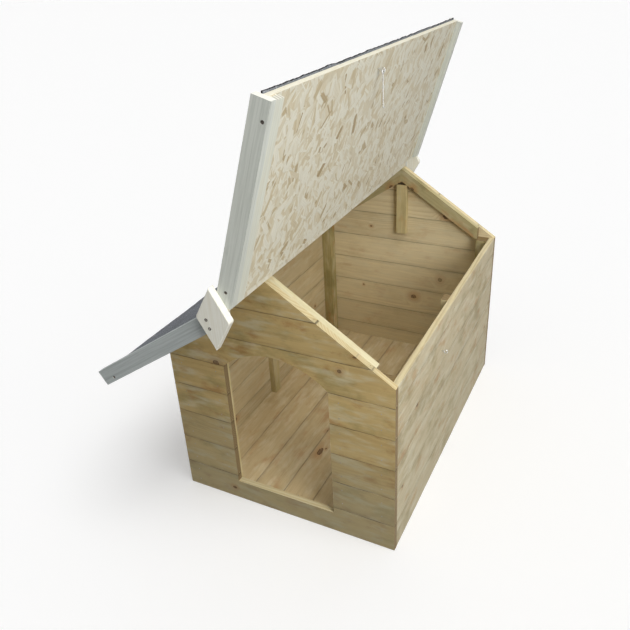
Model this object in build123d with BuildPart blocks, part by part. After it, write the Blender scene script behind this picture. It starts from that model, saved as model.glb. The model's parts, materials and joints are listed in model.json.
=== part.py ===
from build123d import *
from math import atan2, cos, radians, sin, tan
import os

# A small timber pet house with an apex roof. One half of the roof is fixed, the
# other is a lid hinged along the ridge, shown standing open.
# X runs across the front, Y from front to back, Z up from the ground.

# Carcass
width = 610.0
depth = 900.0
eave_h = 484.0
apex_h = 688.0
board_t = 16.0
board_cover = 88.0
first_cover = 80.0
board_gap = 0.4
v_cut = 1.0
tongue_t = 5.0
tongue_d = 4.5
groove_t = 5.6
groove_d = 5.5

# Doorway
door_half = 142.0
sill_h = 61.0
door_crown = 490.0

# Floor and framing
slim_t = 14.0
batten_w = 35.0
batten_t = 18.0
post_w = 34.0
edge_ease = 1.0
first_floor_cover = 84.0
mid_batten_y = -4.0
jamb_set_back = 8.0
jamb_batten_top = 505.0
gable_batten_low = 466.0
gable_batten_top = 634.0

# Roof
panel_t = 11.0
felt_t = 3.0
felt_lip = 4.0
barge_w = 38.0
barge_t = 17.0
barge_proud = 10.0
barge_len = 440.0
roof_batten_w = 28.0
front_overhang = 183.0
back_overhang = 1.0
lid_lift = 0.5
lid_inset = 0.5
ridge_gap = 0.5
lid_angle = 72.6
lid_relief = 7.2

# Ridge hinges
leaf_t = 1.6
leaf_w = 31.0
leaf_start = 4.6
knuckle_r = 4.0
knuckle_sink = 1.0
pin_r = 2.0
pin_clear = 0.05
hinge_len = 75.0
outer_knuckle = 22.0
knuckle_gap = 0.3
hinge_places = (-382.0, 218.0)

# Finials
finial_half_w = 40.0
finial_half_h = 70.0
finial_t = 16.0
finial_mid = 697.0
finial_round = 8.0
finial_ease = 1.5

# Hook and screw eyes
wire_r = 1.4
eye_r = 4.6
eye_stand = 12.0
eye_screw = 9.0
hook_u = 398.0
hook_y = -121.0
hook_drop = 82.0
hook_ring_r = 4.2
hook_bend_r = 5.0
wall_eye_shift = 14.0
wall_eye_stand = 10.0

# Fasteners
brad_r = 1.3
brad_len = 40.0
brad_proud = 0.3
brad_inset = 22.0
side_brad_inset = 31.0
short_brad_len = 30.0
screw_r = 1.9
screw_head_r = 3.5
screw_head_t = 1.4
screw_len = 38.0
screw_bore = 3.9
screw_sunk = 2.0
clout_r = 4.5
clout_t = 1.0
clout_len = 11.0
clout_pitch = 105.0

# Worked out
half_d = depth / 2
front_y = -half_d
back_y = half_d
half_w = width / 2
inner_x = half_w - board_t
inner_y = back_y - board_t
pitch = atan2(apex_h - eave_h, half_w)
rows = [0.0] + [first_cover + board_cover * n for n in range(7)] + [apex_h]
floor_low = slim_t
floor_top = floor_low + board_t
rafter_w = half_w - board_t - post_w

# Each roof half is drawn in its own frame: u runs down the slope and v stands
# square to it, both from the hinge pin's axis.
pin_up = panel_t + felt_t + leaf_t + knuckle_r - knuckle_sink
pin_z = apex_h + pin_up / cos(pitch)
panel_v = -pin_up
felt_v = panel_v + panel_t
leaf_v = felt_v + felt_t
barge_top_v = leaf_v + barge_proud
barge_low_v = barge_top_v - barge_w
eave_u = barge_len - barge_top_v * tan(pitch)
roof_front = front_y - front_overhang + barge_t
roof_back = back_y + back_overhang
lid_tilt = radians(lid_angle)

os.makedirs("parts", exist_ok=True)


def save(piece, label):
    """Label a finished piece and write it to its own file."""
    piece.part.label = label
    export_step(piece.part, "parts/" + label + ".step")


def rake(x):
    """Height of the gable's sloping edge at a distance from the middle."""
    return apex_h - abs(x) * tan(pitch)


def board_outline(low, high, tongue=True, groove=True):
    """Corners of a board's end: thickness across, height up, tongue on top."""
    top = high - board_gap
    side = board_t / 2
    corners = [(-side, low + v_cut), (-side + v_cut, low)]
    if groove:
        corners += [(-groove_t / 2, low), (-groove_t / 2, low + groove_d)]
        corners += [(groove_t / 2, low + groove_d), (groove_t / 2, low)]
    corners += [(side - v_cut, low), (side, low + v_cut)]
    corners += [(side, top - v_cut), (side - v_cut, top)]
    if tongue:
        corners += [(tongue_t / 2, top), (tongue_t / 2, high + tongue_d)]
        corners += [(-tongue_t / 2, high + tongue_d), (-tongue_t / 2, top)]
    corners += [(-side + v_cut, top), (-side, top - v_cut)]
    return corners


# ---------------------------------------------------------------- gable walls


def cross_boards(label, wall_y, first, last, start=-half_w, end=half_w, cut_door=False):
    """Boards that run across a gable wall, from one row to another."""
    with BuildPart() as boards:
        with BuildSketch(Plane.YZ.offset(start)):
            for row in range(first, last + 1):
                is_top = row == len(rows) - 2
                with Locations((wall_y, 0)):
                    Polygon(*board_outline(rows[row], rows[row + 1], not is_top, row > 0), align=None)
        extrude(amount=end - start)
        with BuildSketch(Plane.XZ.offset(-wall_y - board_t)):
            Polygon((-half_w, 0), (half_w, 0), (half_w, eave_h), (0, apex_h), (-half_w, eave_h), align=None)
        extrude(amount=2 * board_t, mode=Mode.INTERSECT)
        if cut_door:
            with BuildSketch(Plane.XZ.offset(-wall_y - board_t)):
                spring = rows[5]
                with BuildLine():
                    Polyline(
                        (-door_half, spring), (-door_half, sill_h), (door_half, sill_h), (door_half, spring)
                    )
                    ThreePointArc((door_half, spring), (0, door_crown), (-door_half, spring))
                make_face()
            extrude(amount=2 * board_t, mode=Mode.SUBTRACT)
    save(boards, label)


front_mid = front_y + board_t / 2
back_mid = back_y - board_t / 2
cross_boards("front_sill_board", front_mid, 0, 0, cut_door=True)
cross_boards("front_jamb_boards_left", front_mid, 1, 4, end=-door_half)
cross_boards("front_jamb_boards_right", front_mid, 1, 4, start=door_half)
cross_boards("front_arch_board", front_mid, 5, 5, cut_door=True)
cross_boards("front_gable_board", front_mid, 6, 6)
cross_boards("front_apex_board", front_mid, 7, 7)
cross_boards("back_bottom_board", back_mid, 0, 0)
cross_boards("back_boards", back_mid, 1, 4)
cross_boards("back_eave_board", back_mid, 5, 5)
cross_boards("back_gable_board", back_mid, 6, 6)
cross_boards("back_apex_board", back_mid, 7, 7)

# ----------------------------------------------------------------- side walls


def side_boards(label, wall_x, first, last):
    """Boards that run along a side wall, between the two gable walls."""
    with BuildPart() as boards:
        with BuildSketch(Plane.XZ.offset(-inner_y)):
            for row in range(first, last + 1):
                is_top = row == 5
                high = eave_h + board_gap if is_top else rows[row + 1]
                with Locations((wall_x, 0)):
                    Polygon(*board_outline(rows[row], high, not is_top, row > 0), align=None)
        extrude(amount=2 * inner_y)
    save(boards, label)


for side, wall_x in (("left", -half_w + board_t / 2), ("right", half_w - board_t / 2)):
    side_boards(side + "_bottom_board", wall_x, 0, 0)
    side_boards(side + "_boards", wall_x, 1, 4)
    side_boards(side + "_eave_board", wall_x, 5, 5)

# ---------------------------------------------------------- floor and framing


def sawn_length(label, xs, ys, zs):
    """A square-cut length of batten with its long edges eased."""
    spans = [(xs[1] - xs[0], Axis.X), (ys[1] - ys[0], Axis.Y), (zs[1] - zs[0], Axis.Z)]
    long_axis = max(spans, key=lambda span: span[0])[1]
    with BuildPart() as batten:
        with BuildSketch(Plane.XY.offset(zs[0])):
            with Locations(((xs[0] + xs[1]) / 2, (ys[0] + ys[1]) / 2)):
                Rectangle(xs[1] - xs[0], ys[1] - ys[0])
        extrude(amount=zs[1] - zs[0])
        chamfer(batten.edges().filter_by(long_axis), edge_ease)
    save(batten, label)


for place, mid in (("front", -inner_y + batten_w / 2), ("middle", 0), ("back", inner_y - batten_w / 2)):
    bearer_span = (mid - batten_w / 2, mid + batten_w / 2)
    sawn_length("floor_bearer_" + place, (-inner_x, inner_x), bearer_span, (0, slim_t))

floor_lines = [-inner_x] + [-inner_x + first_floor_cover + board_cover * n for n in range(6)] + [inner_x]
with BuildPart() as floor_boards:
    floor_plane = Plane(origin=(0, inner_y, floor_low + board_t / 2), x_dir=(0, 0, -1), z_dir=(0, -1, 0))
    with BuildSketch(floor_plane):
        for n in range(len(floor_lines) - 1):
            is_last = n == len(floor_lines) - 2
            edge = floor_lines[n + 1] + board_gap if is_last else floor_lines[n + 1]
            Polygon(*board_outline(floor_lines[n], edge, not is_last, n > 0), align=None)
    extrude(amount=2 * inner_y)
save(floor_boards, "floor_boards")

for side, sign in (("left", -1), ("right", 1)):
    post_x = sorted((sign * inner_x, sign * (inner_x - post_w)))
    sawn_length("corner_post_front_" + side, post_x, (-inner_y, -inner_y + post_w), (floor_top, eave_h))
    sawn_length("corner_post_back_" + side, post_x, (inner_y - post_w, inner_y), (floor_top, eave_h))
    mid_x = sorted((sign * inner_x, sign * (inner_x - batten_t)))
    mid_y = (mid_batten_y - batten_w / 2, mid_batten_y + batten_w / 2)
    sawn_length("side_batten_" + side, mid_x, mid_y, (floor_top, eave_h))
    jamb_edge = door_half + jamb_set_back
    jamb_x = sorted((sign * jamb_edge, sign * (jamb_edge + batten_w)))
    sawn_length("jamb_batten_" + side, jamb_x, (-inner_y, -inner_y + batten_t), (floor_top, jamb_batten_top))

gable_batten_x = (-batten_w / 2, batten_w / 2)
gable_batten_z = (gable_batten_low, gable_batten_top)
sawn_length("gable_batten_back", gable_batten_x, (inner_y - batten_t, inner_y), gable_batten_z)


def rafter(label, sign, plane_y):
    """A batten along the inside of a gable's slope, its top level with the boards."""
    foot = rafter_w - board_gap
    drop = batten_w / cos(pitch)
    with BuildPart() as batten:
        with BuildSketch(Plane.XZ.offset(-plane_y)):
            Polygon(
                (0, apex_h), (sign * foot, rake(foot)), (sign * foot, rake(foot) - drop), (0, apex_h - drop),
                align=None,
            )
        extrude(amount=batten_t)
    save(batten, label)


for side, sign in (("left", -1), ("right", 1)):
    rafter("rafter_front_" + side, sign, -inner_y + batten_t)
    rafter("rafter_back_" + side, sign, inner_y)

# ----------------------------------------------------------------------- roof


def fixed_plane(y):
    """Section plane of the fixed half, looking along +Y from the given place."""
    down_slope = (-cos(pitch), 0, -sin(pitch))
    return Plane(origin=(0, y, pin_z), x_dir=down_slope, z_dir=(0, 1, 0))


def lid_plane(y):
    """Section plane of the open lid, looking along -Y from the given place."""
    down_slope = (cos(lid_tilt), 0, sin(lid_tilt))
    return Plane(origin=(0, y, pin_z), x_dir=down_slope, z_dir=(0, -1, 0))


def half_plane(is_lid, front, back):
    """Section plane at the end of a piece from which it is extruded."""
    return lid_plane(back) if is_lid else fixed_plane(front)


def plumb(v, gap):
    """Where the upright cut at the ridge meets a given level of a roof half."""
    return gap / cos(pitch) - v * tan(pitch)


def roof_length(label, is_lid, front, back, low_v, high_v, end_u):
    """A piece of one roof half that runs from the ridge to the eave."""
    lift = lid_lift if is_lid else 0.0
    gap = ridge_gap if is_lid else 0.0
    low = low_v + lift
    high = high_v + lift
    with BuildPart() as piece:
        with BuildSketch(half_plane(is_lid, front, back)):
            Polygon((plumb(low, gap), low), (end_u, low), (end_u, high), (plumb(high, gap), high), align=None)
        extrude(amount=back - front)
    save(piece, label)


def barge(label, is_lid, front, back, outer_face, back_end):
    """A barge board, its ridge end relieved on the lid so that it can swing."""
    lift = lid_lift if is_lid else 0.0
    gap = ridge_gap if is_lid else 0.0
    low = barge_low_v + lift
    high = barge_top_v + lift
    with BuildPart() as board:
        with BuildSketch(half_plane(is_lid, front, back)):
            corners = [(plumb(low, gap), low), (eave_u, low), (eave_u, high)]
            if is_lid:
                knee_v = (gap / cos(pitch) - lid_relief) / tan(pitch)
                corners += [(lid_relief, high), (lid_relief, knee_v)]
            else:
                corners += [(plumb(high, gap), high)]
            Polygon(*corners, align=None)
        extrude(amount=back - front)
        with BuildSketch(half_plane(is_lid, *outer_face)):
            with Locations(*screw_places(back_end)):
                Circle(screw_bore)
        extrude(amount=screw_sunk, mode=Mode.SUBTRACT)
    save(board, label)


def screw_places(back_end):
    """Where the screws stand on a barge, near the ridge and near the eave."""
    level = felt_v - panel_t / 2
    eave_level = level if back_end else panel_v - slim_t / 3
    return [(50.0, level), (eave_u - 38.0, eave_level)]


for is_lid, name in ((False, "roof"), (True, "lid")):
    inset = lid_inset if is_lid else 0.0
    front = roof_front + inset
    back = roof_back - inset
    roof_length(name + "_panel", is_lid, front, back, panel_v, felt_v, eave_u)
    roof_length(name + "_felt", is_lid, front, back, felt_v, leaf_v, eave_u + felt_lip)
    roof_length(name + "_batten", is_lid, front, front + roof_batten_w, barge_low_v, panel_v, eave_u - 2.0)
    front_face = front - barge_t
    back_face = back + barge_t
    barge(name + "_barge_front", is_lid, front_face, front, (front_face, front_face + screw_sunk), False)
    barge(name + "_barge_back", is_lid, back, back_face, (back_face - screw_sunk, back_face), True)

# -------------------------------------------------------------------- finials


def finial(label, plane_y):
    """A lozenge plate that covers the barges' meeting point."""
    with BuildPart() as plate:
        with BuildSketch(Plane.XZ.offset(-plane_y)) as outline:
            with Locations((0, finial_mid)):
                Polygon(
                    (finial_half_w, 0), (0, finial_half_h), (-finial_half_w, 0), (0, -finial_half_h), align=None
                )
            fillet(outline.vertices().group_by(Axis.Y)[1], finial_round)
        extrude(amount=finial_t)
        outer = plate.faces().sort_by(Axis.Y)[0 if plane_y < 0 else -1]
        chamfer(outer.edges(), finial_ease)
    save(plate, label)


finial_front_y = roof_front - barge_t
finial_back_y = roof_back + barge_t
finial("finial_front", finial_front_y)
finial("finial_back", finial_back_y + finial_t)

# --------------------------------------------------------------- ridge hinges


def leaf_knuckles(is_lid, start):
    """Spans along the pin that belong to one leaf of a hinge."""
    if is_lid:
        return [(start + outer_knuckle + knuckle_gap, start + hinge_len - outer_knuckle - knuckle_gap)]
    return [(start, start + outer_knuckle), (start + hinge_len - outer_knuckle, start + hinge_len)]


def hinge_leaves(label, is_lid):
    """The leaves on one half of the roof, with their knuckles and screw holes."""
    low = leaf_v + (lid_lift if is_lid else 0.0)
    with BuildPart() as leaves:
        for place in hinge_places:
            start = place - hinge_len / 2
            with BuildSketch(half_plane(is_lid, start, start + hinge_len)):
                with Locations((leaf_start + leaf_w / 2, low + leaf_t / 2)):
                    Rectangle(leaf_w, leaf_t)
            extrude(amount=hinge_len)
            for near, far in leaf_knuckles(is_lid, start):
                with BuildSketch(half_plane(is_lid, near, far)):
                    with Locations(((leaf_start + leaf_t) / 2, low + leaf_t / 2)):
                        Rectangle(leaf_start + leaf_t, leaf_t)
                    Circle(knuckle_r)
                    Circle(pin_r + pin_clear, mode=Mode.SUBTRACT)
                extrude(amount=far - near)
            with BuildSketch(leaf_face(is_lid, low)):
                with Locations(*hinge_screw_places(is_lid, place)):
                    Circle(screw_r + pin_clear)
            extrude(amount=leaf_t, mode=Mode.SUBTRACT)
    save(leaves, label)


def leaf_face(is_lid, level):
    """Plane that lies on a roof half at a given level, its x down the slope."""
    section = lid_plane(0) if is_lid else fixed_plane(0)
    return Plane(origin=section.from_local_coords((0, level, 0)), x_dir=section.x_dir, z_dir=section.y_dir)


def hinge_screw_places(is_lid, place):
    """Three screw places on a leaf, on the plane that lies on its roof half."""
    toward_back = 1 if is_lid else -1
    steps = ((-28.0, 14.0), (0.0, 26.0), (28.0, 14.0))
    return [(leaf_start + across, toward_back * (place + along)) for along, across in steps]


hinge_leaves("hinge_leaves_roof", False)
hinge_leaves("hinge_leaves_lid", True)

with BuildPart() as hinge_pins:
    for place in hinge_places:
        with BuildSketch(fixed_plane(place - hinge_len / 2)):
            Circle(pin_r)
        extrude(amount=hinge_len)
save(hinge_pins, "hinge_pins")


# ------------------------------------------------------- hook and screw eyes

lid_under_v = panel_v + lid_lift
ring_v = lid_under_v - eye_stand
hook_top = lid_plane(hook_y).from_local_coords((hook_u, ring_v, 0))
closed_x = hook_u * cos(pitch) + ring_v * sin(pitch)
closed_z = pin_z - hook_u * sin(pitch) + ring_v * cos(pitch)


def screw_eye(label, ring_plane, stand):
    """A wire ring on a screw; the plane's y axis points back along the screw."""
    shank_plane = Plane(
        origin=ring_plane.from_local_coords((0, eye_r, 0)), x_dir=ring_plane.x_dir, z_dir=ring_plane.y_dir
    )
    with BuildPart() as eye:
        with BuildLine(ring_plane):
            ring_path = CenterArc((0, 0), eye_r, 0, 360)
        with BuildSketch(Plane(origin=ring_path @ 0, z_dir=ring_path % 0)):
            Circle(wire_r)
        sweep(path=ring_path)
        with BuildSketch(shank_plane):
            Circle(wire_r)
        extrude(amount=stand - eye_r + eye_screw)
    save(eye, label)


lid_section = lid_plane(hook_y)
screw_eye("lid_screw_eye", Plane(origin=hook_top, x_dir=-lid_section.x_dir, z_dir=(0, 1, 0)), eye_stand)
wall_eye_z = closed_z - hook_drop
wall_eye_y = hook_y + wall_eye_shift
wall_eye_mid = (half_w + wall_eye_stand, wall_eye_y, wall_eye_z)
screw_eye("wall_screw_eye", Plane(origin=wall_eye_mid, x_dir=(0, 0, -1), z_dir=(0, 1, 0)), wall_eye_stand)

# The hook hangs straight down from the lid's eye: a closed ring, a straight
# shank, and a bent tip that points along the wall towards its eye.
with BuildPart() as hook:
    hook_plane = Plane(origin=hook_top, x_dir=(0, 1, 0), z_dir=(1, 0, 0))
    with BuildLine(hook_plane):
        ring_line = CenterArc((0, -hook_ring_r), hook_ring_r, 0, 360)
    with BuildSketch(Plane(origin=ring_line @ 0, z_dir=ring_line % 0)):
        Circle(wire_r)
    sweep(path=ring_line)
    with BuildLine(hook_plane) as shank:
        straight = Line((0, -2 * hook_ring_r), (0, -hook_drop + hook_bend_r))
        RadiusArc((0, -hook_drop + hook_bend_r), (hook_bend_r, -hook_drop), -hook_bend_r)
        Line((hook_bend_r, -hook_drop), (1.6 * hook_bend_r, -hook_drop))
    with BuildSketch(Plane(origin=straight @ 0, z_dir=straight % 0)):
        Circle(wire_r)
    sweep(path=shank.wires()[0])
save(hook, "hook")

# ------------------------------------------------------------------ fasteners


def row_pairs(row_list, inset):
    """Two nail heights on each board of a wall."""
    heights = []
    for low, high in zip(row_list, row_list[1:]):
        heights += [low + inset, high - inset]
    return heights


def wall_face(x_dir, outward, distance):
    """Plane on the outside of a wall, where the nail heads stand."""
    return Plane(origin=Vector(*outward) * (distance + brad_proud), x_dir=x_dir, z_dir=outward)


gable_heights = row_pairs(rows[:6], brad_inset)
side_heights = row_pairs(rows[:6], side_brad_inset) + [(rows[5] + eave_h) / 2]
post_x = inner_x - post_w / 2
post_y = inner_y - post_w / 2
jamb_mid = door_half + jamb_set_back + batten_w / 2
corner_places = [(sign * post_x, height) for sign in (-1, 1) for height in gable_heights]
jamb_places = [(sign * jamb_mid, height) for sign in (-1, 1) for height in gable_heights[2:]]
side_places = [(sign * post_y, height) for sign in (-1, 1) for height in side_heights]
right_mid_places = [(mid_batten_y, height) for height in side_heights[2:]]
left_mid_places = [(-mid_batten_y, height) for height in side_heights[2:]]
front_face = wall_face((1, 0, 0), (0, -1, 0), half_d)
back_face = wall_face((-1, 0, 0), (0, 1, 0), half_d)
right_face = wall_face((0, 1, 0), (1, 0, 0), half_w)
left_face = wall_face((0, -1, 0), (-1, 0, 0), half_w)


def fasteners(label, rods):
    """Nails or screws as rods: plane, places on it, radius and signed length."""
    with BuildPart() as group:
        for plane, places, radius, length in rods:
            with BuildSketch(plane):
                with Locations(*places):
                    Circle(radius)
            extrude(amount=length)
    save(group, label)


wall_rods = [
    (front_face, corner_places, brad_r, -brad_len),
    (back_face, corner_places, brad_r, -brad_len),
    (front_face, jamb_places, brad_r, -short_brad_len),
    (right_face, side_places, brad_r, -brad_len),
    (left_face, side_places, brad_r, -brad_len),
    (right_face, right_mid_places, brad_r, -short_brad_len),
    (left_face, left_mid_places, brad_r, -short_brad_len),
]
fasteners("wall_nails", wall_rods)

floor_mids = [(a + b) / 2 for a, b in zip(floor_lines, floor_lines[1:])]
bearer_lines = (-inner_y + batten_w - 6, 0.0, inner_y - batten_w + 6)
floor_places = [(x, y) for x in floor_mids for y in bearer_lines if y == 0 or abs(x) < post_x - post_w / 2]
floor_face = Plane.XY.offset(floor_top + brad_proud)
fasteners("floor_nails", [(floor_face, floor_places, brad_r, -(board_t + slim_t / 2))])


def barge_screws(is_lid):
    """Screws through the barges into the panel and batten, heads below the face."""
    inset = lid_inset if is_lid else 0.0
    ends = ((roof_front + inset - barge_t, 1, False), (roof_back - inset + barge_t, -1, True))
    rods = []
    for face_y, inward, back_end in ends:
        head_span = sorted((face_y + inward * screw_sunk, face_y + inward * (screw_sunk - screw_head_t)))
        shank_span = sorted((face_y + inward * screw_sunk, face_y + inward * screw_len))
        for span, radius in ((head_span, screw_head_r), (shank_span, screw_r)):
            rods += [(half_plane(is_lid, *span), screw_places(back_end), radius, span[1] - span[0])]
    return rods


def finial_screws():
    """Screws through the finials into the fixed barges, with low round heads."""
    rods = []
    for plane_y, sign in ((finial_front_y - finial_t, 1), (finial_back_y + finial_t, -1)):
        face = Plane(origin=(0, plane_y, 0), x_dir=(sign, 0, 0), z_dir=(0, -sign, 0))
        places = [(-sign * 15.0, 695.0), (-sign * 9.0, 676.0)]
        rods += [(face, places, screw_head_r, 0.6), (face, places, screw_r, -(finial_t + barge_t - 3))]
    return rods


fasteners("lid_barge_screws", barge_screws(True))
fasteners("roof_trim_screws", barge_screws(False) + finial_screws())


def clouts(is_lid):
    """Broad-headed nails that hold the felt along the ridge and the eave."""
    toward_back = 1 if is_lid else -1
    count = int((roof_back - roof_front) // clout_pitch)
    first = (roof_front + roof_back - clout_pitch * (count - 1)) / 2
    ys = [first + clout_pitch * n for n in range(count)]
    clear = [y for y in ys if all(abs(y - place) > hinge_len / 2 + 6 for place in hinge_places)]
    places = [(24.0, toward_back * y) for y in clear] + [(eave_u - 14.0, toward_back * y) for y in ys]
    face = leaf_face(is_lid, leaf_v + (lid_lift if is_lid else 0.0))
    return [(face, places, clout_r, clout_t), (face, places, brad_r, -clout_len)]


def hinge_screws(is_lid):
    """Round-headed screws through the leaves into the roof panel."""
    top = leaf_v + leaf_t + (lid_lift if is_lid else 0.0)
    places = [spot for place in hinge_places for spot in hinge_screw_places(is_lid, place)]
    face = leaf_face(is_lid, top)
    return [(face, places, screw_head_r, screw_head_t), (face, places, screw_r, -clout_len)]


fasteners("hinge_screws_roof", hinge_screws(False))
fasteners("hinge_screws_lid", hinge_screws(True))
fasteners("roof_felt_nails", clouts(False))
fasteners("lid_felt_nails", clouts(True))
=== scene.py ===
"""Looks for a small timber pet house with a lifting roof lid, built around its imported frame.

Lengths are metres. Rates of a pattern are in cycles per metre.
"""

import json
import logging
import math
import random
from dataclasses import dataclass
from enum import Enum
from typing import Callable, ClassVar, Sequence, Union

import bpy
from mathutils import Matrix, Vector

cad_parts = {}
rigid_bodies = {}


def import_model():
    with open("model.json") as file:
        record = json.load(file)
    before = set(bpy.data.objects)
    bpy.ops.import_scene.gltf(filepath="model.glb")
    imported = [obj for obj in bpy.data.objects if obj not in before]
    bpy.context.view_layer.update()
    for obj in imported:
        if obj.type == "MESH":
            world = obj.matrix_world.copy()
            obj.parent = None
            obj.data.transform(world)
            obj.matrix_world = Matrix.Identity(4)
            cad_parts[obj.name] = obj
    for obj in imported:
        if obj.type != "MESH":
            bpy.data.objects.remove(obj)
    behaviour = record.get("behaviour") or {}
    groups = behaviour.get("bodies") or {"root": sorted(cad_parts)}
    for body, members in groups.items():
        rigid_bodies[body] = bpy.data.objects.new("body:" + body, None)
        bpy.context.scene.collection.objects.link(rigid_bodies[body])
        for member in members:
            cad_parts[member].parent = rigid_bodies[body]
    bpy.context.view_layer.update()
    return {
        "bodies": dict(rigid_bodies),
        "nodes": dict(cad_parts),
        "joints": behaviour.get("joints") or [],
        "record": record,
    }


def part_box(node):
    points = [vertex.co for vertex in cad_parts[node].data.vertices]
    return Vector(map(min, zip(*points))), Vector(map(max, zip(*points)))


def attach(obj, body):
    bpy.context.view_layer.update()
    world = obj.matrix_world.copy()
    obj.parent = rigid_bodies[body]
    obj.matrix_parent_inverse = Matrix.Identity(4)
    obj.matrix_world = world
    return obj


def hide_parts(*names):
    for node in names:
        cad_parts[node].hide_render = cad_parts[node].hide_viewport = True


LOG = logging.getLogger("pet_house")
Colour = tuple[float, float, float]
Direction = tuple[float, float, float]
Value = Union[float, bpy.types.NodeSocket]
Steps = Sequence[tuple[float, Colour]]

ACROSS = (1.0, 0.0, 0.0)
BACKWARD = (0.0, 1.0, 0.0)
UPRIGHT = (0.0, 0.0, 1.0)
BLACK: Colour = (0.0, 0.0, 0.0)
WHITE: Colour = (1.0, 1.0, 1.0)

# What a whole board covers, and what is left of the first one of a wall and of the floor.
BOARD_COVER = 0.088
FIRST_COVER = 0.080
FIRST_FLOOR_COVER = 0.084


def warm(red: int, green: int, blue: int) -> Colour:
    """Turn display levels into a linear colour.

    Args:
        red: Red level, from 11 to 255.
        green: Green level, from 11 to 255.
        blue: Blue level, from 11 to 255.

    Returns:
        The linear colour.
    """
    return tuple(((level / 255 + 0.055) / 1.055) ** 2.4 for level in (red, green, blue))


def grey(level: float) -> Colour:
    """A linear grey."""
    return (level, level, level)


# ------------------------------------------------------------------- wiring


class Parts(Enum):
    """What can be taken apart, and the node that does it."""

    PLACE = "ShaderNodeSeparateXYZ"
    COLOUR = "ShaderNodeSeparateColor"


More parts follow.
